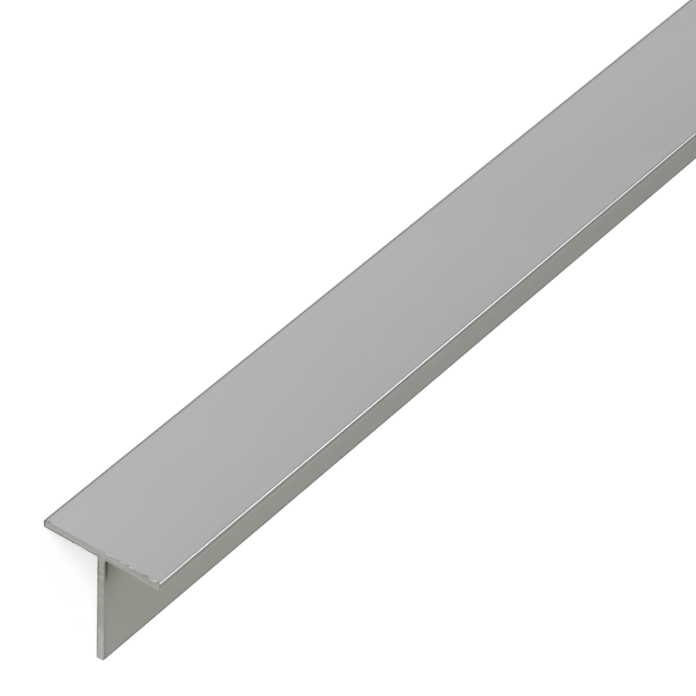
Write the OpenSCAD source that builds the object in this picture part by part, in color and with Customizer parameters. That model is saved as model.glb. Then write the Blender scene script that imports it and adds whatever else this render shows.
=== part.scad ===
// Extruded aluminium T-profile, one length of stock, lying on a level floor as it comes to rest.

/* [Section] */
// Width of the flange, from tip to tip
flange_w = 23.5; // [12:0.5:60]
// Height of the section, from the outer face of the flange to the tip of the web
section_h = 23.5; // [12:0.5:60]
// Wall thickness of the flange
flange_t = 1.5; // [1:0.1:4]
// Wall thickness of the web
web_t = 1.5; // [1:0.1:4]

/* [Edges] */
// Radius of the outer edges, at the tips of the flange and of the web
edge_r = 0.3; // [0.1:0.05:0.45]
// Radius of the fillet in each root, between web and flange
root_r = 0.3; // [0.1:0.05:2]

/* [Stock] */
// Length that the stock is sawn to
stock_l = 1000; // [250:50:3000]

/* [Hidden] */
$fn = 64;
alloy_colour = [0.70, 0.70, 0.69];

// The section is drawn with its origin in the middle of the flange's outer face, and the web hanging down.
// These are the centres of its six edge radii, on the flange's two tips and the web's tip.
flange_x = flange_w / 2 - edge_r;
web_x = web_t / 2 - edge_r;
edge_centres = [
    [-flange_x, -edge_r],
    [flange_x, -edge_r],
    [-flange_x, edge_r - flange_t],
    [flange_x, edge_r - flange_t],
    [-web_x, edge_r - section_h],
    [web_x, edge_r - section_h]
];

// A T can't stand on the edge of its web. It tips until one tip of the flange and the tip of the web
// both lie on the floor, so the line between those two tips gives the lean.
lean = atan2(section_h - flange_t, (flange_w - web_t) / 2);

// Where a point of the section comes to when the section leans
function leant(p) = [
    p.x * cos(lean) - p.y * sin(lean),
    p.x * sin(lean) + p.y * cos(lean)
];
leant_x = [for (c = edge_centres) leant(c).x];
leant_z = [for (c = edge_centres) leant(c).y];

// The middle of the leaning section's width, and how far it has to rise for its lowest edges to touch the floor
middle_x = (min(leant_x) + max(leant_x)) / 2;
rise_z = edge_r - min(leant_z);

// A flat strip of the section, with its corners rounded, standing from low to high
module strip(width, low, high) {
    tall = high - low;
    translate([-width / 2 + edge_r, low]) square([width - 2 * edge_r, tall]);
    translate([-width / 2, low + edge_r]) square([width, tall - 2 * edge_r]);
    for (x = [edge_r - width / 2, width / 2 - edge_r], y = [low + edge_r, high - edge_r])
        translate([x, y]) circle(edge_r);
}

// The fillet in the root on the web's right side. It starts inside both walls, so that it is one with them.
module root_fillet() {
    difference() {
        translate([0, -flange_t - root_r]) square([web_t / 2 + root_r, root_r + flange_t / 2]);
        translate([web_t / 2 + root_r, -flange_t - root_r]) circle(root_r);
    }
}

module section() {
    strip(flange_w, -flange_t, 0);
    strip(web_t, -section_h, -flange_t / 2);
    root_fillet();
    mirror([1, 0]) root_fillet();
}

// The stock: the section pushed through along Y, then leant over and set down on the floor
module t_profile() {
    color(alloy_colour)
        translate([-middle_x, 0, rise_z])
            rotate([0, -lean, 0])
                rotate([90, 0, 0])
                    linear_extrude(height = stock_l, center = true)
                        section();
}

t_profile();
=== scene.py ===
"""One length of satin anodised aluminium T-profile, lying on a pale studio floor.

Lengths are in metres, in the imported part's frame: Y runs along the stock, Z is up, and the floor is at
z = 0. The stock is shaped upright, with its flange on top and its web hanging down. It is then leant over on
to the floor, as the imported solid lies.
"""

import math

import bmesh
import bpy
from bpy.props import FloatProperty, FloatVectorProperty, IntProperty, PointerProperty
from mathutils import Matrix, Vector


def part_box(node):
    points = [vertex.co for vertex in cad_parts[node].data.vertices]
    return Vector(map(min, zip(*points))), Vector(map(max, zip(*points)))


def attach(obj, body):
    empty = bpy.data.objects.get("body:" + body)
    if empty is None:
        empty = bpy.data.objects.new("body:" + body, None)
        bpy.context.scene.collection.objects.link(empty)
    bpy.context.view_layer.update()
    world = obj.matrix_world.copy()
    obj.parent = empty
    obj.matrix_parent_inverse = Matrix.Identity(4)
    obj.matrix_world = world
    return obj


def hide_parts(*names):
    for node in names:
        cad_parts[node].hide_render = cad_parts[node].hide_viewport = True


bl_info = {
    "name": "T-profile stock",
    "version": (1, 0, 0),
    "blender": (4, 5, 0),
    "location": "3D View > Sidebar > T-profile",
    "description": "Models one length of anodised aluminium T-profile, its sawn ends and a plain studio",
    "category": "Add Mesh",
}

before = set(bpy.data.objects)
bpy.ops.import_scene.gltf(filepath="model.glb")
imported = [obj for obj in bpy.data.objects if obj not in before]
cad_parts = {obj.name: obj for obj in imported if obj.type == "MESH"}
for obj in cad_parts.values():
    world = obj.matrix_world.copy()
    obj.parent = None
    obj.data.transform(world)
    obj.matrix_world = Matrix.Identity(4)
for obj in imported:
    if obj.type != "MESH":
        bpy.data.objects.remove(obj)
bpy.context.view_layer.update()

MM = 0.001

# How near a point counts as being at a place, and how near a cut has to pass to a point to go through it
NEAR = 0.01 * MM
FINE = 0.001 * MM

# How much of a face's normal has to point one way for the face to be square to it, and how much of it has
# to point up on the flange's outer face, where chips tilt it
SQUARE = 0.9
TILTED = 0.2

# Edges that turn by more than this stay sharp. Beside the others, large faces rule the normals of small
# ones: 50 is an even share, and 100 is the most.
SHARP_TURN = math.radians(32)
LARGE_FACE_RULE = 100

NODE = "t_profile"
STOCK = "t_profile_stock"
NODE_LOW, NODE_HIGH = (Vector(corner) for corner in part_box(NODE))

# The stock's materials, in the order of its slots
ANODISED, SAWN, TORN, SOILED = range(4)

# Where the saw tore the skin beside the cut: the middle and the width of each chip across the flange, how
# far it reaches either way along the stock, in millimetres, and its material. The far end has the same
# chips, turned about.
CHIPS = (
    (1.3, 1.1, 0.16, TORN),
    (3.9, 0.6, 0.16, TORN),
    (5.6, 0.9, 0.2, TORN),
    (9.0, 0.5, 0.25, SOILED),
    (10.3, 1.4, 0.3, TORN),
    (11.2, 0.5, 0.2, SOILED),
    (-10.7, 0.7, 0.12, SOILED),
)

# The second, deeper step of a chip, as a share of its outline
CHIP_CORE = 0.6

# The photograph's frame, in pixels, and the sensor width that the lens is stated for
FRAME_PX = 696
SENSOR_MM = 36.0

# The nearest and the farthest that the camera sees
CLIP_NEAR = 10 * MM
CLIP_FAR = 100.0

# The lamps are aimed at the floor under the stock, this far in from its near end
LAMP_AIM = 50 * MM


def linear(hex_colour):
    """An sRGB hex colour as linear RGB, by the sRGB curve, and an alpha of 1."""
    values = [int(hex_colour[i : i + 2], 16) / 255 for i in (1, 3, 5)]
    return [v / 12.92 if v <= 0.04045 else ((v + 0.055) / 1.055) ** 2.4 for v in values] + [1.0]


class StockSizes(bpy.types.PropertyGroup):
    """Sizes of the section and of its sawn ends."""

    flange_width: FloatProperty(
        name="Flange width",
        description="Across the flange, from tip to tip",
        default=23.5 * MM,
        unit="LENGTH",
    )
    section_height: FloatProperty(
        name="Section height",
        description="From the flange's outer face to the tip of the web",
        default=23.5 * MM,
        unit="LENGTH",
    )
    flange_wall: FloatProperty(
        name="Flange wall",
        description="Thickness of the flange",
        default=1.5 * MM,
        unit="LENGTH",
    )
    web_wall: FloatProperty(
        name="Web wall",
        description="Thickness of the web",
        default=1.5 * MM,
        unit="LENGTH",
    )
    edge_radius: FloatProperty(
        name="Edge radius",
        description="Radius of the long outer edges",
        default=0.3 * MM,
        unit="LENGTH",
    )
    root_radius: FloatProperty(
        name="Root radius",
        description="Radius of the fillets between web and flange",
        default=0.3 * MM,
        unit="LENGTH",
    )
    length: FloatProperty(
        name="Length",
        description="Length that the stock is sawn to",
        default=NODE_HIGH.y - NODE_LOW.y,
        unit="LENGTH",
    )
    arc_steps: IntProperty(
        name="Arc steps",
        description="Flat steps in each quarter round",
        default=8,
        min=2,
    )
    end_zone: FloatProperty(
        name="End zone",
        description="Stretch at each end that is divided finely for the saw's marks",
        default=0.6 * MM,
        unit="LENGTH",
    )
    end_ring: FloatProperty(
        name="End ring",
        description="Spacing of the rings that divide an end zone along the stock",
        default=0.1 * MM,
        unit="LENGTH",
    )
    end_cell: FloatProperty(
        name="End cell",
        description="Spacing of the grid that divides the ends across the stock",
        default=0.2 * MM,
        unit="LENGTH",
    )
    saw_depth: FloatProperty(
        name="Saw mark depth",
        description="Depth of the saw's marks in the cut faces",
        default=0.02 * MM,
        unit="LENGTH",
    )
    rim_depth: FloatProperty(
        name="Rim depth",
        description="Depth to which the saw frays the rims of the cut faces",
        default=0.08 * MM,
        unit="LENGTH",
    )
    chip_drop: FloatProperty(
        name="Chip drop",
        description="Depth of the torn chips below the flange's outer face",
        default=0.05 * MM,
        unit="LENGTH",
    )
    chip_inset: FloatProperty(
        name="Chip inset",
        description="How far in from the cut the middles of the chips lie",
        default=0.15 * MM,
        unit="LENGTH",
    )


class StockFinish(bpy.types.PropertyGroup):
    """Colours of the surfaces."""

    anodised: FloatVectorProperty(
        name="Anodised",
        description="Silver of the satin anodised faces",
        default=linear("#B4B4B4"),
        size=4,
        subtype="COLOR",
    )
    anodised_dark: FloatVectorProperty(
        name="Anodised, darker",
        description="Darker silver of the faint die lines and clouds",
        default=linear("#B1B1B1"),
        size=4,
        subtype="COLOR",
    )
    # Painted shade: the dark silver painted on the edges that the stock lies on, a little on its right tip,
    # and round the left tip at the cuts
    edge_shade: FloatVectorProperty(
        name="Scuffed edges",
        description="Dulled silver of the edges that the stock lies and slides on",
        default=linear("#3E3E3C"),
        size=4,
        subtype="COLOR",
    )
    # Painted shade: the dark colour painted into the roots beside the cuts
    root_shade: FloatVectorProperty(
        name="Residue",
        description="Dark saw coolant dried into the roots beside the cuts",
        default=linear("#3A382F"),
        size=4,
        subtype="COLOR",
    )
    # Painted shade: the brown-tinted darker colour painted round that in the roots
    tinted_shade: FloatVectorProperty(
        name="Film",
        description="Thin brown film that the coolant leaves round its residue",
        default=linear("#6E6655"),
        size=4,
        subtype="COLOR",
    )
    bare: FloatVectorProperty(
        name="Bare metal",
        description="Bare aluminium of the sawn faces",
        default=linear("#A6A59F"),
        size=4,
        subtype="COLOR",
    )
    bare_dark: FloatVectorProperty(
        name="Bare metal, darker",
        description="Darker bare aluminium in the saw's marks",
        default=linear("#93928C"),
        size=4,
        subtype="COLOR",
    )
    # Painted light: the brighter bare metal painted on the left half of the flange's ends and the web's
    # lower ends
    bare_lit: FloatVectorProperty(
        name="Bare metal, brighter",
        description="Brighter bare aluminium where the blade enters and leaves",
        default=linear("#B4B3AE"),
        size=4,
        subtype="COLOR",
    )
    # Painted shade: the dark colour painted round the rims of the cut faces
    burr_shade: FloatVectorProperty(
        name="Burr",
        description="Dark grime caught on the burr round the rims of the cuts",
        default=linear("#5E5D56"),
        size=4,
        subtype="COLOR",
    )
    # Partly the chips' own bare metal and partly a painted highlight
    torn: FloatVectorProperty(
        name="Torn metal",
        description="Bright fresh aluminium in the chips beside the cut",
        default=linear("#D2D2CE"),
        size=4,
        subtype="COLOR",
    )


class Studio(bpy.types.PropertyGroup):
    """The floor, the light and the camera."""

    floor_size: FloatProperty(
        name="Floor size",
        description="Length and width of the floor",
        default=40.0,
        unit="LENGTH",
    )
    floor_colour: FloatVectorProperty(
        name="Floor",
        description="Matt white of the floor",
        default=linear("#F4F4F4"),
        size=4,
        subtype="COLOR",
    )
    floor_glow: FloatProperty(
        name="Floor glow",
        description="Share of the floor's white that shows whatever light falls on it",
        default=0.5,
        min=0.0,
        max=1.0,
        subtype="FACTOR",
    )
    surround: FloatProperty(
        name="Surround",
        description="Strength of the soft light from all round",
        default=0.21,
        min=0.0,
    )
    warm_white: FloatVectorProperty(
        name="Warm white",
        description="White of the surround and of the light from the right",
        default=linear("#FEFFEA"),
        size=4,
        subtype="COLOR",
    )
    cool_white: FloatVectorProperty(
        name="Cool white",
        description="White of the other lamps",
        default=linear("#F6F7FF"),
        size=4,
        subtype="COLOR",
    )
    azimuth: FloatProperty(
        name="Azimuth",
        description="Where the camera stands round the upright section, from straight in front of its end",
        default=math.radians(34.81),
        subtype="ANGLE",
    )
    elevation: FloatProperty(
        name="Elevation",
        description="How far the camera looks down on the upright flange",
        default=math.radians(40.03),
        subtype="ANGLE",
    )
    roll: FloatProperty(
        name="Roll",
        description="How far the camera is turned about its own axis",
        default=math.radians(3.34),
        subtype="ANGLE",
    )
    distance: FloatProperty(
        name="Distance",
        description="From the camera to the near end, along the camera's axis",
        default=693.6 * MM,
        unit="LENGTH",
    )
    focal_px: FloatProperty(
        name="Focal length",
        description="Focal length in pixels of the photograph's frame",
        default=4412.0,
        subtype="PIXEL",
    )
    near_end_px: FloatVectorProperty(
        name="Near end",
        description="Pixel where the middle of the flange's outer face ends at the near end",
        default=(101.1, 551.8),
        size=2,
    )


def lean_angle(sizes):
    """How far the section leans when one tip of its flange and the tip of its web lie on the floor."""
    return math.atan2(
        sizes.section_height - sizes.flange_wall,
        (sizes.flange_width - sizes.web_wall) / 2,
    )


def lying_down(sizes):
    """The matrix that takes the upright section, with its origin in the flange's face, to where it lies."""
    r = sizes.edge_radius
    flange_x = sizes.flange_width / 2 - r
    web_x = sizes.web_wall / 2 - r
    turn = Matrix.Rotation(-lean_angle(sizes), 4, "Y")
    centres = [
        turn @ Vector((x, 0, z))
        for x, z in (
            (-flange_x, -r),
            (flange_x, -r),
            (-flange_x, r - sizes.flange_wall),
            (flange_x, r - sizes.flange_wall),
            (-web_x, r - sizes.section_height),
            (web_x, r - sizes.section_height),
        )
    ]
    middle = (min(c.x for c in centres) + max(c.x for c in centres)) / 2
    rise = r - min(c.z for c in centres)
    return Matrix.Translation((-middle, 0, rise)) @ turn


def select_only(obj, kind, wanted):
    """In edit mode, selects the vertices, edges or faces that wanted says yes to, and nothing else."""
    bpy.ops.mesh.select_mode(type=kind)
    bpy.ops.mesh.select_all(action="DESELECT")
    mesh = bmesh.from_edit_mesh(obj.data)
    items = {"VERT": mesh.verts, "EDGE": mesh.edges, "FACE": mesh.faces}[kind]
    found = [item for item in items if wanted(item)]
    if not found:
        raise RuntimeError(f"nothing to select among the {kind.lower()} elements of {obj.name}")
    for item in found:
        item.select_set(True)
    mesh.select_flush_mode()
    bmesh.update_edit_mesh(obj.data)


def shape_section(obj, sizes):
    """From the flange's block to the plain T: the web is drawn down out of a strip of the underside."""
    half_web = sizes.web_wall / 2
    for x in (-half_web, half_web):
        bpy.ops.mesh.select_all(action="SELECT")
        bpy.ops.mesh.bisect(plane_co=(x, 0, 0), plane_no=(1, 0, 0), threshold=FINE)
    select_only(
        obj,
        "FACE",
        lambda f: f.normal.z < -SQUARE and abs(f.calc_center_median().x) < half_web / 2,
    )
    drop = sizes.flange_wall - sizes.section_height
    bpy.ops.mesh.extrude_region_move(TRANSFORM_OT_translate={"value": (0, 0, drop)})
    select_only(obj, "FACE", lambda f: f.normal.z > SQUARE)
    bpy.ops.mesh.dissolve_faces()


def round_edges(obj, sizes):
    """The radii that the die gives the long edges: outer ones at the tips, fillets in the roots."""
    half_flange = sizes.flange_width / 2
    half_web = sizes.web_wall / 2

    def along_stock(edge):
        a, b = (v.co for v in edge.verts)
        return abs(a.y - b.y) > 0.5 * (a - b).length

    def at_tip(edge):
        p = edge.verts[0].co
        flange_tip = abs(abs(p.x) - half_flange) < NEAR
        web_tip = abs(p.z + sizes.section_height) < NEAR
        return along_stock(edge) and (flange_tip or web_tip)

    def at_root(edge):
        p = edge.verts[0].co
        beside_web = abs(abs(p.x) - half_web) < NEAR
        return along_stock(edge) and beside_web and abs(p.z + sizes.flange_wall) < NEAR

    for wanted, radius in ((at_tip, sizes.edge_radius), (at_root, sizes.root_radius)):
        select_only(obj, "EDGE", wanted)
        bpy.ops.mesh.bevel(
            offset=radius,
            offset_type="OFFSET",
            segments=sizes.arc_steps,
            profile=0.5,
            affect="EDGES",
            clamp_overlap=False,
        )


def steps_between(low, high, step):
    """Evenly spaced places strictly between low and high, about a step apart."""
    count = max(1, round((high - low) / step))
    return [low + (high - low) * i / count for i in range(1, count)]


def divide_ends(obj, sizes):
    """Divides a short zone at each end into rings and a fine grid, which the saw's marks can move."""
    half = sizes.length / 2
    zone = half - sizes.end_zone
    for place in [zone] + steps_between(zone, half, sizes.end_ring):
        for y in (-place, place):
            bpy.ops.mesh.select_all(action="SELECT")
            bpy.ops.mesh.bisect(plane_co=(0, y, 0), plane_no=(0, 1, 0), threshold=FINE)
    half_flange = sizes.flange_width / 2
    r = sizes.edge_radius
    cuts = [((x, 0, 0), (1, 0, 0)) for x in steps_between(r - half_flange, half_flange - r, sizes.end_cell)]
    cuts += [((0, 0, z), (0, 0, 1)) for z in steps_between(r - sizes.section_height, -r, sizes.end_cell)]
    for place, normal in cuts:
        select_only(obj, "FACE", lambda f: all(abs(v.co.y) > zone - NEAR for v in f.verts))
        bpy.ops.mesh.bisect(plane_co=place, plane_no=normal, threshold=FINE)


def bare_cuts(obj):
    """Gives the cut faces the bare metal's slot, and everything else the anodised one."""
    bpy.ops.mesh.select_all(action="SELECT")
    obj.active_material_index = ANODISED
    bpy.ops.object.material_slot_assign()
    select_only(obj, "FACE", lambda f: abs(f.normal.y) > SQUARE)
    obj.active_material_index = SAWN
    bpy.ops.object.material_slot_assign()


def tear_chips(obj, sizes):
    """Sinks shallow dished chips into the flange's outer face beside the cuts, in two steps each."""
    half = sizes.length / 2

    def dished(point, end, chip, share):
        """Whether a point of the flange's face lies within a share of the chip's outline, at one end."""
        middle, width, reach, _ = chip
        across = (point.x + end * middle * MM) / (share * width / 2 * MM)
        along = (half - end * point.y - sizes.chip_inset) / (share * reach * MM)
        return point.z > -sizes.chip_drop - NEAR and math.hypot(across, along) < 1

    for end in (-1, 1):
        for chip in CHIPS:
            select_only(
                obj,
                "FACE",
                lambda f: f.normal.z > TILTED and dished(f.calc_center_median(), end, chip, 1),
            )
            obj.active_material_index = chip[-1]
            bpy.ops.object.material_slot_assign()
            for share in (1, CHIP_CORE):
                select_only(obj, "VERT", lambda v: dished(v.co, end, chip, share))
                bpy.ops.transform.translate(value=(0, 0, -sizes.chip_drop / 2))


def fray_cuts(obj, sizes):
    """Moves the cut faces in by the saw's marks, and their rims by small nicks, and nothing out."""
    cut = set()
    other = set()
    for polygon in obj.data.polygons:
        on_end = polygon.material_index == SAWN
        (cut if on_end else other).update(polygon.vertices)
    for name, members in (("cut_face", cut - other), ("cut_rim", cut & other)):
        group = obj.vertex_groups.new(name=name)
        group.add(sorted(members), 1.0, "REPLACE")

    marks = bpy.data.textures.new("saw_marks", "CLOUDS")
    marks.noise_scale = 0.8 * MM
    marks.noise_depth = 2
    nicks = bpy.data.textures.new("rim_nicks", "CLOUDS")
    nicks.noise_scale = 0.5 * MM
    nicks.noise_depth = 2
    for group, texture, depth in (
        ("cut_face", marks, sizes.saw_depth),
        ("cut_rim", nicks, sizes.rim_depth),
    ):
        bpy.ops.object.modifier_add(type="DISPLACE")
        modifier = obj.modifiers[-1]
        modifier.texture = texture
        modifier.texture_coords = "LOCAL"
        modifier.vertex_group = group
        modifier.direction = "NORMAL"
        modifier.mid_level = 1.0
        modifier.strength = depth
        bpy.ops.object.modifier_apply(modifier=modifier.name)
    obj.vertex_groups.clear()


class MESH_OT_t_profile_stock(bpy.types.Operator):
    """Model the stock: a T drawn from one block, its edges rounded, its ends sawn, laid on the floor"""

    bl_idname = "mesh.t_profile_stock"
    bl_label = "T-profile stock"

    def execute(self, context):
        sizes = context.scene.stock_sizes
        finish = context.scene.stock_finish
        bpy.ops.object.select_all(action="DESELECT")
        bpy.ops.mesh.primitive_cube_add(size=1.0, location=(0, 0, -sizes.flange_wall / 2))
        obj = context.active_object
        obj.name = STOCK
        obj.data.name = STOCK
        obj.scale = (sizes.flange_width, sizes.length, sizes.flange_wall)
        bpy.ops.object.transform_apply(location=True, rotation=True, scale=True)
        for material in (satin_anodised_aluminium, sawn_aluminium, torn_aluminium, soiled_aluminium):
            obj.data.materials.append(material(sizes, finish))

        bpy.ops.object.mode_set(mode="EDIT")
        shape_section(obj, sizes)
        round_edges(obj, sizes)
        divide_ends(obj, sizes)
        bare_cuts(obj)
        tear_chips(obj, sizes)
        bpy.ops.object.mode_set(mode="OBJECT")

        fray_cuts(obj, sizes)
        obj.matrix_world = lying_down(sizes)
        bpy.ops.object.transform_apply(location=True, rotation=True, scale=True)
        bpy.ops.object.shade_smooth_by_angle(angle=SHARP_TURN)
        bpy.ops.object.modifier_add(type="WEIGHTED_NORMAL")
        obj.modifiers[-1].weight = LARGE_FACE_RULE
        obj.modifiers[-1].keep_sharp = True
        bpy.ops.object.modifier_apply(modifier=obj.modifiers[-1].name)

        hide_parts(NODE)
        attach(obj, "root")
        return {"FINISHED"}


def node(tree, kind, inputs=None, **settings):
    """Adds a node with its settings. Each input is given by its name or number, as a value, as a socket to
    link, or as a node, whose first live socket is linked."""
    made = tree.nodes.new(kind)
    for name, value in settings.items():
        setattr(made, name, value)
    for place, value in (inputs or {}).items():
        if isinstance(value, bpy.types.Node):
            value = next(socket for socket in value.outputs if socket.enabled)
        if isinstance(value, bpy.types.NodeSocket):
            tree.links.new(value, made.inputs[place])
        else:
            made.inputs[place].default_value = value
    return made


def new_material(name):
    """An empty node material and its tree."""
    material = bpy.data.materials.new(name)
    material.use_nodes = True
    material.node_tree.nodes.clear()
    return material, material.node_tree


def upright_place(tree, sizes):
    """The node that says where a point was on the upright section, before it was leant over."""
    upright = lying_down(sizes).inverted()
    place = node(tree, "ShaderNodeTexCoord").outputs["Object"]
    return node(
        tree,
        "ShaderNodeMapping",
        {"Vector": place, "Location": upright.to_translation(), "Rotation": upright.to_euler()},
    )


def patches(x, y, z):
    """The scale of a mapping that makes a noise's patches measure x, y and z millimetres."""
    return [1 / (size * MM) for size in (x, y, z)]


def satin_anodised_aluminium(sizes, finish):
    """Etched and clear anodised after extrusion: a soft metallic silver with no mirror image in it, and very
    faint lines left along its length by the die. The edges it lies on, and a little the upper half of its
    right tip, are painted darker, as painted shade. Beside the cuts, painted shade darkens the roots, and
    the saw has rolled a thin bright lip of bare metal on to the flange."""
    material, tree = new_material("satin_anodised_aluminium")
    place = upright_place(tree, sizes)
    x, y, z = node(tree, "ShaderNodeSeparateXYZ", {"Vector": place}).outputs
    from_middle = node(tree, "ShaderNodeMath", {0: x}, operation="ABSOLUTE")

    # Die lines lie about half a millimetre apart, and clouds in the anodising are some centimetres long
    drawn = node(tree, "ShaderNodeMapping", {"Vector": place, "Scale": patches(0.5, 400, 0.5)})
    lines = node(tree, "ShaderNodeTexNoise", {"Vector": drawn, "Scale": 1.0, "Detail": 3.0})
    spread = node(tree, "ShaderNodeMapping", {"Vector": place, "Scale": patches(12, 50, 12)})
    clouds = node(tree, "ShaderNodeTexNoise", {"Vector": spread, "Scale": 1.0, "Detail": 2.0})
    both = node(tree, "ShaderNodeMath", {0: lines, 1: clouds}, operation="ADD")
    tone = node(tree, "ShaderNodeMapRange", {"Value": both, "From Min": 0.7, "From Max": 1.3})
    silver = node(
        tree,
        "ShaderNodeMix",
        {0: tone, 6: finish.anodised_dark, 7: finish.anodised},
        data_type="RGBA",
    )

    # The stock rests on the left tip of the flange and the tip of the web. These tips are painted darker, as
    # painted shade that outlines them, and so, a little, is the upper half of its right tip.
    left = -sizes.flange_width / 2
    left_tip = node(
        tree,
        "ShaderNodeMapRange",
        {"Value": x, "From Min": left + 0.55 * MM, "From Max": left + 0.25 * MM, "To Max": 0.85},
    )
    low = -sizes.section_height
    web_tip = node(
        tree,
        "ShaderNodeMapRange",
        {"Value": z, "From Min": low + 0.6 * MM, "From Max": low + 0.3 * MM},
    )
    right = sizes.flange_width / 2
    right_tip = node(
        tree,
        "ShaderNodeMapRange",
        {"Value": x, "From Min": right - 0.1 * MM, "From Max": right, "To Max": 0.25},
    )
    upper_half = node(
        tree,
        "ShaderNodeMapRange",
        {"Value": z, "From Min": -1.1 * MM, "From Max": -0.6 * MM},
    )
    right_tip_shade = node(tree, "ShaderNodeMath", {0: right_tip, 1: upper_half}, operation="MULTIPLY")
    lain_on = node(tree, "ShaderNodeMath", {0: left_tip, 1: web_tip}, operation="MAXIMUM")
    shaded_edges = node(tree, "ShaderNodeMath", {0: lain_on, 1: right_tip_shade}, operation="MAXIMUM")
    edge_shaded = node(tree, "ShaderNodeMix", {0: shaded_edges, 6: silver, 7: finish.edge_shade}, data_type="RGBA")

    # Painted shade in the root of the web, beside the cut: a dark band beside the cut, a brown-tinted shade
    # round that, a longer fainter shade down the web, and a faint darker rim all down the web beside the
    # cut.
    root = -sizes.flange_wall
    cut = sizes.length / 2
    from_centre = node(tree, "ShaderNodeMath", {0: y}, operation="ABSOLUTE")
    below_flange = node(
        tree,
        "ShaderNodeMapRange",
        {"Value": z, "From Min": root + 0.3 * MM, "From Max": root},
    )
    beside_web = node(
        tree,
        "ShaderNodeMapRange",
        {"Value": from_middle, "From Min": 3.0 * MM, "From Max": 1.5 * MM},
    )
    dark_shade_down = node(
        tree,
        "ShaderNodeMapRange",
        {"Value": z, "From Min": root - 5.2 * MM, "From Max": root - 3.2 * MM},
    )
    dark_shade_along = node(
        tree,
        "ShaderNodeMapRange",
        {"Value": from_centre, "From Min": cut - 1.0 * MM, "From Max": cut - 0.6 * MM, "To Max": 0.85},
    )
    off_cut = node(
        tree,
        "ShaderNodeMapRange",
        {"Value": from_centre, "From Min": cut, "From Max": cut - 0.35 * MM, "To Min": 0.1},
    )
    tinted_shade_down = node(
        tree,
        "ShaderNodeMapRange",
        {"Value": z, "From Min": root - 7.0 * MM, "From Max": root - 1.0 * MM, "To Max": 0.7},
    )
    long_shade_down = node(
        tree,
        "ShaderNodeMapRange",
        {"Value": z, "From Min": root - 13.0 * MM, "From Max": root, "To Max": 0.35},
    )
    near_cut = node(
        tree,
        "ShaderNodeMapRange",
        {"Value": from_centre, "From Min": cut - 6.0 * MM, "From Max": cut},
    )
    dark_shade = node(tree, "ShaderNodeMath", {0: dark_shade_down, 1: dark_shade_along}, operation="MULTIPLY")
    dark_shade = node(tree, "ShaderNodeMath", {0: dark_shade, 1: off_cut}, operation="MULTIPLY")
    cut_side_shade = node(
        tree,
        "ShaderNodeMapRange",
        {"Value": from_centre, "From Min": cut - 1.2 * MM, "From Max": cut - 0.6 * MM, "To Max": 0.12},
    )
    long_shade = node(tree, "ShaderNodeMath", {0: long_shade_down, 1: near_cut}, operation="MULTIPLY")
    long_shade = node(tree, "ShaderNodeMath", {0: long_shade, 1: cut_side_shade}, operation="MAXIMUM")
    dark = node(tree, "ShaderNodeMath", {0: dark_shade, 1: long_shade}, operation="MAXIMUM")
    in_root = node(tree, "ShaderNodeMath", {0: below_flange, 1: beside_web}, operation="MULTIPLY")
    dark = node(tree, "ShaderNodeMath", {0: dark, 1: in_root}, operation="MULTIPLY")
    tinted_shade = node(tree, "ShaderNodeMath", {0: tinted_shade_down, 1: near_cut}, operation="MULTIPLY")
    tinted_shade = node(tree, "ShaderNodeMath", {0: tinted_shade, 1: in_root}, operation="MULTIPLY")
    tint_shaded = node(tree, "ShaderNodeMix", {0: tinted_shade, 6: edge_shaded, 7: finish.tinted_shade}, data_type="RGBA")
    root_shaded = node(tree, "ShaderNodeMix", {0: dark, 6: tint_shaded, 7: finish.root_shade}, data_type="RGBA")

    # The burr is rolled over on to the right half of the flange's face
    rolled_right = node(
        tree,
        "ShaderNodeMapRange",
        {"Value": x, "From Min": -1.0 * MM, "From Max": 0.5 * MM},
    )
    rolled_along = node(
        tree,
        "ShaderNodeMapRange",
        {"Value": from_centre, "From Min": cut - 0.17 * MM, "From Max": cut - 0.1 * MM, "To Max": 0.9},
    )
    on_face = node(
        tree,
        "ShaderNodeMapRange",
        {"Value": z, "From Min": -0.2 * MM, "From Max": -0.1 * MM},
    )
    rolled = node(tree, "ShaderNodeMath", {0: rolled_right, 1: rolled_along}, operation="MULTIPLY")
    rolled = node(tree, "ShaderNodeMath", {0: rolled, 1: on_face}, operation="MULTIPLY")
    colour = node(tree, "ShaderNodeMix", {0: rolled, 6: root_shaded, 7: finish.bare}, data_type="RGBA")

    # The etched grain is really some hundredths of a millimetre. It is drawn at 0.15 mm, so that it shows.
    fine = node(tree, "ShaderNodeMapping", {"Vector": place, "Scale": patches(0.15, 0.15, 0.15)})
    grain = node(tree, "ShaderNodeTexNoise", {"Vector": fine, "Scale": 1.0, "Detail": 2.0})
    gloss = node(
        tree,
        "ShaderNodeMapRange",
        {"Value": grain, "From Min": 0.3, "From Max": 0.7, "To Min": 0.31, "To Max": 0.35},
    )
    drawn_bump = node(tree, "ShaderNodeBump", {"Height": lines, "Strength": 0.02, "Distance": 0.02 * MM})
    etched_bump = node(
        tree,
        "ShaderNodeBump",
        {"Height": grain, "Strength": 0.08, "Distance": 0.01 * MM, "Normal": drawn_bump},
    )
    shader = node(
        tree,
        "ShaderNodeBsdfPrincipled",
        {"Base Color": colour, "Metallic": 1.0, "Roughness": gloss, "Normal": etched_bump},
    )
    node(tree, "ShaderNodeOutputMaterial", {"Surface": shader})
    return material


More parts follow.
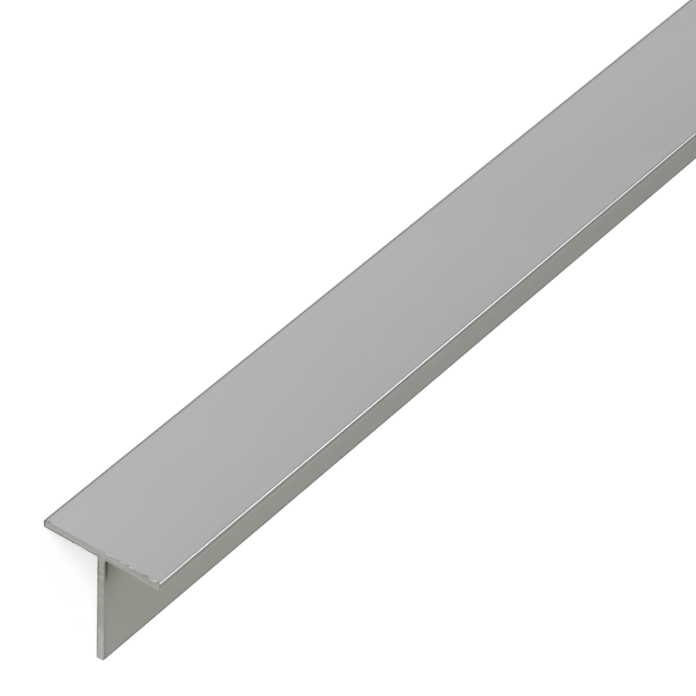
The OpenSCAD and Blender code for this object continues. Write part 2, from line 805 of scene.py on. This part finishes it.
def sawn_aluminium(sizes, finish):
    """Bare metal as the saw leaves it: greyer and rougher than the anodised faces, with soft grooves along
    the blade's travel and small torn spots. Painted light brightens the left half of the flange's end and
    the web's lower end, and painted shade darkens the rims of the cut faces and the flange's left tip."""
    material, tree = new_material("sawn_aluminium")
    place = upright_place(tree, sizes)
    x, _, z = node(tree, "ShaderNodeSeparateXYZ", {"Vector": place}).outputs

    # The blade's grooves are half a millimetre apart and run across the web, and torn spots measure 1 mm
    swept = node(tree, "ShaderNodeMapping", {"Vector": place, "Scale": patches(6.0, 2.0, 0.5)})
    grooves = node(tree, "ShaderNodeTexNoise", {"Vector": swept, "Scale": 1.0, "Detail": 2.0})
    spotted = node(tree, "ShaderNodeMapping", {"Vector": place, "Scale": patches(1.0, 2.0, 1.0)})
    spots = node(tree, "ShaderNodeTexNoise", {"Vector": spotted, "Scale": 1.0, "Detail": 4.0})
    both = node(tree, "ShaderNodeMath", {0: grooves, 1: spots}, operation="ADD")
    tone = node(tree, "ShaderNodeMapRange", {"Value": both, "From Min": 0.8, "From Max": 1.2})
    bare = node(tree, "ShaderNodeMix", {0: tone, 6: finish.bare_dark, 7: finish.bare}, data_type="RGBA")

    # Painted light: the bare metal is painted brighter over the flange's left half, most along its lower
    # part, and over the last millimetres of the web
    low = -sizes.section_height
    left_half = node(
        tree,
        "ShaderNodeMapRange",
        {"Value": x, "From Min": 0, "From Max": -2.0 * MM, "To Max": 0.9},
    )
    lower_part = node(
        tree,
        "ShaderNodeMapRange",
        {"Value": z, "From Min": -0.7 * MM, "From Max": -0.9 * MM, "To Min": 0.4},
    )
    left_lit = node(tree, "ShaderNodeMath", {0: left_half, 1: lower_part}, operation="MULTIPLY")
    low_web_lit = node(
        tree,
        "ShaderNodeMapRange",
        {"Value": z, "From Min": low + 8.0 * MM, "From Max": low + 6.0 * MM, "To Max": 0.75},
    )
    painted_light = node(tree, "ShaderNodeMath", {0: left_lit, 1: low_web_lit}, operation="MAXIMUM")
    bare = node(tree, "ShaderNodeMix", {0: painted_light, 6: bare, 7: finish.bare_lit}, data_type="RGBA")

    # How deep a point lies between the flange's two faces, and inside the web's sides and tip
    from_middle = node(tree, "ShaderNodeMath", {0: x}, operation="ABSOLUTE")
    below_face = node(tree, "ShaderNodeMath", {0: z, 1: -1.0}, operation="MULTIPLY")
    above_underside = node(tree, "ShaderNodeMath", {0: z, 1: sizes.flange_wall}, operation="ADD")
    above_tip = node(tree, "ShaderNodeMath", {0: z, 1: sizes.section_height}, operation="ADD")
    in_flange = node(tree, "ShaderNodeMath", {0: below_face, 1: above_underside}, operation="MINIMUM")
    half_web = sizes.web_wall / 2
    from_side = node(tree, "ShaderNodeMath", {0: half_web, 1: from_middle}, operation="SUBTRACT")
    in_web = node(tree, "ShaderNodeMath", {0: from_side, 1: above_tip}, operation="MINIMUM")
    depth = node(tree, "ShaderNodeMath", {0: in_flange, 1: in_web}, operation="MAXIMUM")
    rim = node(
        tree,
        "ShaderNodeMapRange",
        {"Value": depth, "From Min": 0.55 * MM, "From Max": 0.2 * MM},
    )

    # Painted shade round the rims, broken up by noise. It is heavy round the left root, under the flange
    # and down to the web's middle, half as heavy down the rest of the web's left side, and faint elsewhere.
    broken = node(
        tree,
        "ShaderNodeMapRange",
        {"Value": spots, "From Min": 0.35, "From Max": 0.6, "To Min": 0.3, "To Max": 0.9},
    )
    left_side = node(tree, "ShaderNodeMapRange", {"Value": x, "From Min": 0, "From Max": -0.2 * MM})
    lower_side = node(
        tree,
        "ShaderNodeMapRange",
        {"Value": z, "From Min": -0.6 * MM, "From Max": -0.9 * MM},
    )
    upper_web = node(
        tree,
        "ShaderNodeMapRange",
        {"Value": z, "From Min": -9.0 * MM, "From Max": -6.0 * MM, "To Min": 0.5},
    )
    by_root = node(tree, "ShaderNodeMath", {0: left_side, 1: lower_side}, operation="MULTIPLY")
    by_root = node(tree, "ShaderNodeMath", {0: by_root, 1: upper_web}, operation="MULTIPLY")
    heavy = node(tree, "ShaderNodeMapRange", {"Value": by_root, "To Min": 0.15})
    rim_shade = node(tree, "ShaderNodeMath", {0: rim, 1: broken}, operation="MULTIPLY")
    rim_shade = node(tree, "ShaderNodeMath", {0: rim_shade, 1: heavy}, operation="MULTIPLY")
    rim_shaded = node(tree, "ShaderNodeMix", {0: rim_shade, 6: bare, 7: finish.burr_shade}, data_type="RGBA")

    # The left tip, which the stock lies on, is painted darker round the cut as well, as painted shade
    left = -sizes.flange_width / 2
    left_tip = node(
        tree,
        "ShaderNodeMapRange",
        {"Value": x, "From Min": left + 0.4 * MM, "From Max": left + 0.2 * MM},
    )
    colour = node(tree, "ShaderNodeMix", {0: left_tip, 6: rim_shaded, 7: finish.edge_shade}, data_type="RGBA")

    bump = node(tree, "ShaderNodeBump", {"Height": both, "Strength": 0.15, "Distance": 0.04 * MM})
    shader = node(
        tree,
        "ShaderNodeBsdfPrincipled",
        {"Base Color": colour, "Metallic": 1.0, "Roughness": 0.5, "Normal": bump},
    )
    node(tree, "ShaderNodeOutputMaterial", {"Surface": shader})
    return material


def torn_aluminium(sizes, finish):
    """Fresh metal in the chips where the saw tore the skin away: brighter than all round it, partly as a
    painted highlight, and uneven.
    """
    material, tree = new_material("torn_aluminium")
    place = upright_place(tree, sizes)
    small = node(tree, "ShaderNodeMapping", {"Vector": place, "Scale": patches(0.25, 0.25, 0.25)})
    tears = node(tree, "ShaderNodeTexNoise", {"Vector": small, "Scale": 1.0, "Detail": 3.0})
    tone = node(tree, "ShaderNodeMapRange", {"Value": tears, "From Min": 0.3, "From Max": 0.5})
    colour = node(tree, "ShaderNodeMix", {0: tone, 6: finish.bare, 7: finish.torn}, data_type="RGBA")
    bump = node(tree, "ShaderNodeBump", {"Height": tears, "Strength": 0.3, "Distance": 0.05 * MM})
    shader = node(
        tree,
        "ShaderNodeBsdfPrincipled",
        {"Base Color": colour, "Metallic": 1.0, "Roughness": 0.4, "Normal": bump},
    )
    node(tree, "ShaderNodeOutputMaterial", {"Surface": shader})
    return material


def soiled_aluminium(sizes, finish):
    """Pits beside the cut that have filled with saw dust and coolant: darker than torn chips, and dull."""
    material, tree = new_material("soiled_aluminium")
    place = upright_place(tree, sizes)
    small = node(tree, "ShaderNodeMapping", {"Vector": place, "Scale": patches(0.3, 0.3, 0.3)})
    crumbs = node(tree, "ShaderNodeTexNoise", {"Vector": small, "Scale": 1.0, "Detail": 3.0})
    tone = node(tree, "ShaderNodeMapRange", {"Value": crumbs, "From Min": 0.35, "From Max": 0.65})
    colour = node(tree, "ShaderNodeMix", {0: tone, 6: finish.bare_dark, 7: finish.bare}, data_type="RGBA")
    bump = node(tree, "ShaderNodeBump", {"Height": crumbs, "Strength": 0.3, "Distance": 0.05 * MM})
    shader = node(
        tree,
        "ShaderNodeBsdfPrincipled",
        {"Base Color": colour, "Metallic": 1.0, "Roughness": 0.6, "Normal": bump},
    )
    node(tree, "ShaderNodeOutputMaterial", {"Surface": shader})
    return material


def matt_floor(studio):
    """Matt white paint. Part of its white is its own glow, which only cameras, metal and glass see, so that
    the floor looks white without more light on the stock, and the shadow on it still shows."""
    material, tree = new_material("matt_white_floor")
    path = node(tree, "ShaderNodeLightPath").outputs
    seen = node(
        tree,
        "ShaderNodeMath",
        {0: path["Is Camera Ray"], 1: path["Is Glossy Ray"]},
        operation="MAXIMUM",
    )
    seen = node(tree, "ShaderNodeMath", {0: seen, 1: path["Is Transmission Ray"]}, operation="MAXIMUM")
    strength = node(tree, "ShaderNodeMath", {0: seen, 1: studio.floor_glow}, operation="MULTIPLY")
    glow = node(tree, "ShaderNodeEmission", {"Strength": strength})
    paint = node(
        tree,
        "ShaderNodeBsdfPrincipled",
        {"Base Color": studio.floor_colour, "Roughness": 0.9, "Specular IOR Level": 0.0},
    )
    both = node(tree, "ShaderNodeAddShader", {0: glow, 1: paint})
    node(tree, "ShaderNodeOutputMaterial", {"Surface": both})
    return material


def soft_light(name, aim, colour, offset, width, height, power):
    """A rectangular soft light that stands off from aim and faces it. Its power is in watts."""
    offset = Vector(offset)
    bpy.ops.object.light_add(type="AREA", location=aim + offset)
    lamp = bpy.context.active_object
    lamp.name = name
    lamp.data.shape = "RECTANGLE"
    lamp.data.size = width
    lamp.data.size_y = height
    lamp.data.energy = power
    lamp.data.color = colour[:3]
    lamp.rotation_euler = offset.to_track_quat("Z", "Y").to_euler()
    lamp.visible_camera = False


def add_camera(sizes, studio):
    """The photograph's camera. It is placed round the upright section and lies down with it."""
    overhead = Vector((0, 0, 1))
    back = Vector(
        (
            math.sin(studio.azimuth) * math.cos(studio.elevation),
            -math.cos(studio.azimuth) * math.cos(studio.elevation),
            math.sin(studio.elevation),
        )
    )
    level_right = overhead.cross(back).normalized()
    level_up = back.cross(level_right)
    right = math.cos(studio.roll) * level_right + math.sin(studio.roll) * level_up
    up = back.cross(right)
    u, v = studio.near_end_px
    centre = FRAME_PX / 2
    across = (u - centre) / studio.focal_px * studio.distance
    above = (centre - v) / studio.focal_px * studio.distance
    near_end = Vector((0, -sizes.length / 2, 0))
    eye = near_end + studio.distance * back - across * right - above * up
    upright = Matrix.Translation(eye) @ Matrix((right, up, back)).transposed().to_4x4()

    bpy.ops.object.camera_add()
    camera = bpy.context.active_object
    camera.name = "photo_camera"
    camera.matrix_world = lying_down(sizes) @ upright
    camera.data.sensor_width = SENSOR_MM
    camera.data.lens = studio.focal_px / FRAME_PX * SENSOR_MM
    camera.data.clip_start = CLIP_NEAR
    camera.data.clip_end = CLIP_FAR
    bpy.context.scene.camera = camera


def light_world(studio):
    """Soft light from all round."""
    world = bpy.data.worlds.new("studio_world")
    world.use_nodes = True
    tree = world.node_tree
    tree.nodes.clear()
    surround = node(
        tree,
        "ShaderNodeBackground",
        {"Color": studio.warm_white, "Strength": studio.surround},
    )
    node(tree, "ShaderNodeOutputWorld", {"Surface": surround})
    bpy.context.scene.world = world


class SCENE_OT_stock_studio(bpy.types.Operator):
    """Set up the studio: a pale floor, soft light and the photograph's camera"""

    bl_idname = "scene.stock_studio"
    bl_label = "Stock studio"

    def execute(self, context):
        sizes = context.scene.stock_sizes
        studio = context.scene.stock_studio
        bpy.ops.object.select_all(action="DESELECT")
        bpy.ops.mesh.primitive_plane_add(size=studio.floor_size)
        floor = context.active_object
        floor.name = "studio_floor"
        floor.data.materials.append(matt_floor(studio))
        aim = Vector((0, LAMP_AIM - sizes.length / 2, 0))
        cool = studio.cool_white
        warm = studio.warm_white
        soft_light("front_light", aim, cool, offset=(-0.3, -0.32, 0.26), width=0.4, height=0.4, power=1.9)
        soft_light("right_light", aim, warm, offset=(1.5, 0.75, 1.0), width=1.0, height=1.0, power=4.0)
        soft_light("top_light", aim, cool, offset=(-0.1, 0.75, 0.9), width=1.8, height=0.4, power=8.0)
        light_world(studio)
        add_camera(sizes, studio)
        context.scene.view_settings.view_transform = "Standard"
        return {"FINISHED"}


class VIEW3D_PT_t_profile(bpy.types.Panel):
    """The stock's sizes and finish, and the studio"""

    bl_idname = "VIEW3D_PT_t_profile"
    bl_label = "T-profile"
    bl_space_type = "VIEW_3D"
    bl_region_type = "UI"
    bl_category = "T-profile"

    def draw(self, context):
        scene = context.scene
        for settings, operator in (
            (scene.stock_sizes, None),
            (scene.stock_finish, MESH_OT_t_profile_stock.bl_idname),
            (scene.stock_studio, SCENE_OT_stock_studio.bl_idname),
        ):
            box = self.layout.box()
            for name in settings.__annotations__:
                box.prop(settings, name)
            if operator:
                box.operator(operator)


CLASSES = (
    StockSizes,
    StockFinish,
    Studio,
    MESH_OT_t_profile_stock,
    SCENE_OT_stock_studio,
    VIEW3D_PT_t_profile,
)


def register():
    for cls in CLASSES:
        bpy.utils.register_class(cls)
    bpy.types.Scene.stock_sizes = PointerProperty(type=StockSizes)
    bpy.types.Scene.stock_finish = PointerProperty(type=StockFinish)
    bpy.types.Scene.stock_studio = PointerProperty(type=Studio)


def unregister():
    del bpy.types.Scene.stock_studio
    del bpy.types.Scene.stock_finish
    del bpy.types.Scene.stock_sizes
    for cls in reversed(CLASSES):
        bpy.utils.unregister_class(cls)


def main():
    register()
    bpy.ops.mesh.t_profile_stock()
    bpy.ops.scene.stock_studio()


if __name__ == "__main__":
    main()
